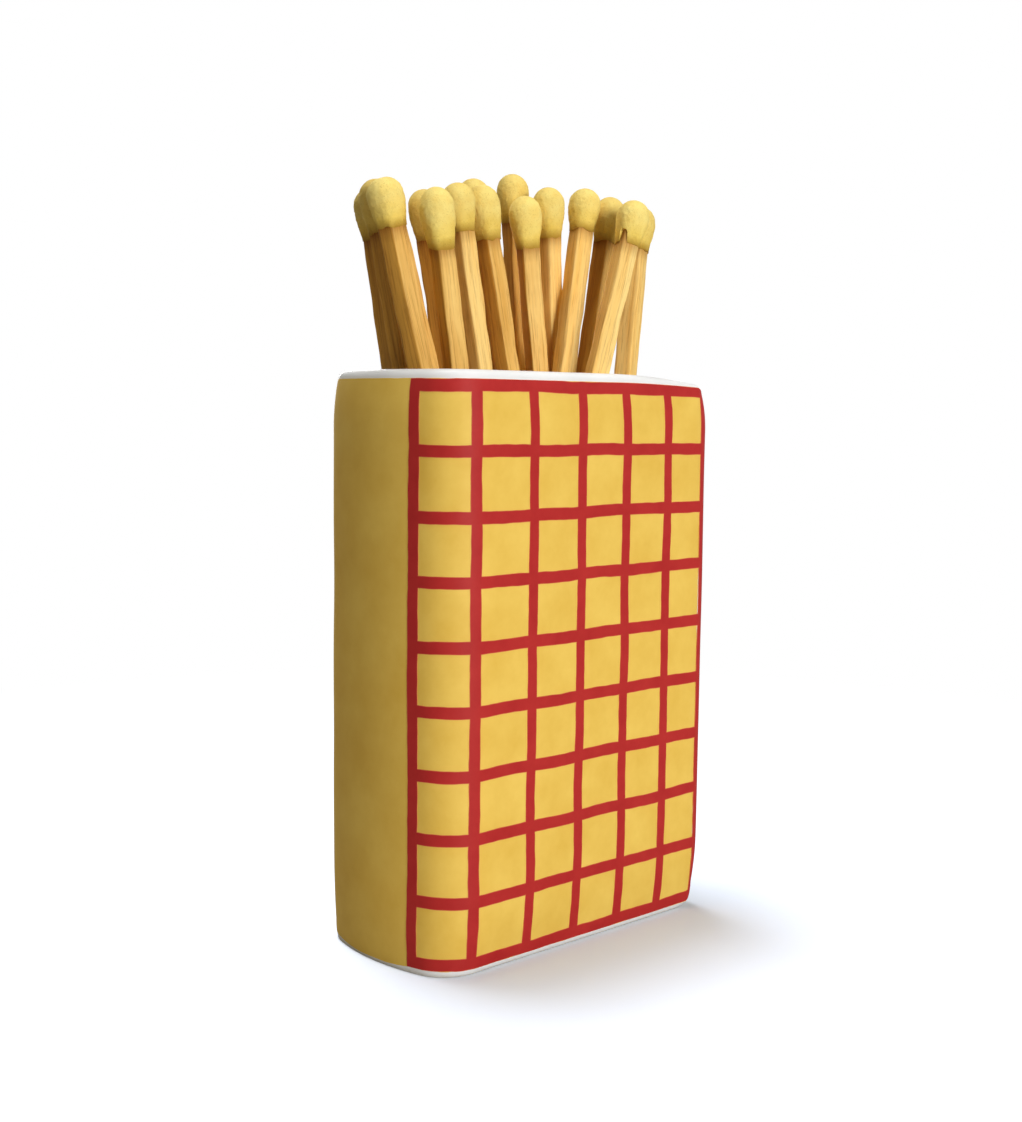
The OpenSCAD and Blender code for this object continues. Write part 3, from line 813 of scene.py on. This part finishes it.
# The studio: a white floor that fades into a white surround, and round soft lamps. One stands in front of
# the pot, one hangs over it, a weak one stands behind it, and one lights the floor, which keeps its shadow.
floor_size = 4
floor_glow = 0.36
paper_from, white_from = 0.06, 0.22
sky_strength = 0.085
bpy.ops.mesh.primitive_plane_add(size=floor_size, location=(0, 0, 0))
floor = bpy.context.object
floor.name = "studio_floor"
floor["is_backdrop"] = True


def floor_paper():
    """White paper, seen a little brighter than it is lit, and pure white from a short way off."""
    made, tree, shader = new_material("floor_paper")
    shader.inputs["Roughness"].default_value = 0.9
    shader.inputs["Specular IOR Level"].default_value = 0
    seen = add(tree, "ShaderNodeLightPath", {}).outputs["Is Camera Ray"]
    shades = {"Factor": seen, 6: (0.31, 0.28, 0.23, 1), 7: (0.60, 0.67, 0.80, 1)}
    paper = add(tree, "ShaderNodeMix", shades, data_type="RGBA")
    tree.links.new(paper.outputs[2], shader.inputs["Base Color"])
    where = add(tree, "ShaderNodeTexCoord", {}).outputs["Object"]
    away = add(tree, "ShaderNodeVectorMath", {0: where}, operation="LENGTH").outputs["Value"]
    reach = {"Value": away, "From Min": paper_from, "From Max": white_from}
    far = add(tree, "ShaderNodeMapRange", reach).outputs["Result"]
    far_seen = add(tree, "ShaderNodeMath", {0: far, 1: seen}, operation="MULTIPLY").outputs[0]
    lift = add(tree, "ShaderNodeMath", {0: seen, 1: floor_glow}, operation="MULTIPLY").outputs[0]
    glow = add(tree, "ShaderNodeEmission", {"Strength": lift})
    near = add(tree, "ShaderNodeAddShader", {0: shader.outputs[0], 1: glow.outputs[0]})
    white = add(tree, "ShaderNodeEmission", {"Strength": 1.0})
    both = add(tree, "ShaderNodeMixShader", {0: far_seen, 1: near.outputs[0], 2: white.outputs[0]})
    tree.links.new(both.outputs[0], tree.nodes["Material Output"].inputs["Surface"])
    return made


floor.data.materials.append(floor_paper())


def surround():
    """A white room: it shows as plain white, and lights the pot more softly than that."""
    world = bpy.data.worlds.new("surround")
    world.use_nodes = True
    bpy.context.scene.world = world
    tree = world.node_tree
    dim = tree.nodes["Background"]
    dim.inputs["Color"].default_value = (1.0, 0.86, 0.56, 1)
    dim.inputs["Strength"].default_value = sky_strength
    plain = add(tree, "ShaderNodeBackground", {"Color": (1, 1, 1, 1), "Strength": 1.0})
    path = add(tree, "ShaderNodeLightPath", {})
    shiny = {0: path.outputs["Is Glossy Ray"], 1: path.outputs["Is Transmission Ray"]}
    either = add(tree, "ShaderNodeMath", shiny, operation="MAXIMUM").outputs[0]
    seen = add(tree, "ShaderNodeMath", {0: path.outputs["Is Camera Ray"], 1: either}, operation="MAXIMUM")
    both = add(tree, "ShaderNodeMixShader", {0: seen.outputs[0], 1: dim.outputs[0], 2: plain.outputs[0]})
    tree.links.new(both.outputs[0], tree.nodes["World Output"].inputs["Surface"])


surround()


def lamp(name, place, size, power):
    """A round soft white lamp at place, turned towards the middle of the object."""
    data = bpy.data.lights.new(name, "AREA")
    data.shape = "DISK"
    data.size = size
    data.energy = power
    made = bpy.data.objects.new(name, data)
    made.location = place
    made.rotation_euler = (Vector((0, 0, 0.055)) - Vector(place)).to_track_quat("-Z", "Y").to_euler()
    bpy.context.collection.objects.link(made)
    return made


key = lamp("key_lamp", (-0.2, -1.4, 0.22), 0.7, 20.2)
lamp("top_lamp", (-0.06, 0.15, 0.95), 0.45, 5.6)
behind = lamp("back_lamp", (0.45, 0.75, 0.3), 0.5, 2.6)
lit_pieces = bpy.data.collections.new("lit_pieces")
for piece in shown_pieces():
    lit_pieces.objects.link(piece)
key.light_linking.receiver_collection = lit_pieces
behind.light_linking.receiver_collection = lit_pieces
over_floor = lamp("floor_lamp", (0, 0.2, 0.9), 0.3, 5.6)
lit_floor = bpy.data.collections.new("lit_floor")
lit_floor.objects.link(floor)
over_floor.light_linking.receiver_collection = lit_floor

camera_at = Vector((-149.9, -160.9, 75.1)) * MM
yaw, pitch, roll = math.radians(42.81), math.radians(5.71), math.radians(0.62)
photo_h = 1122
focal_px = 1530.6
sensor = 36
camera_data = bpy.data.cameras.new("camera")
camera_data.sensor_width = sensor
camera_data.lens = focal_px / photo_h * sensor
camera_data.clip_start = 0.01
camera = bpy.data.objects.new("camera", camera_data)
camera.matrix_world = (
    Matrix.Translation(camera_at)
    @ Matrix.Rotation(-yaw, 4, "Z")
    @ Matrix.Rotation(math.pi / 2 - pitch, 4, "X")
    @ Matrix.Rotation(roll, 4, "Z")
)
bpy.context.collection.objects.link(camera)
bpy.context.scene.camera = camera
bpy.context.scene.view_settings.view_transform = "Standard"
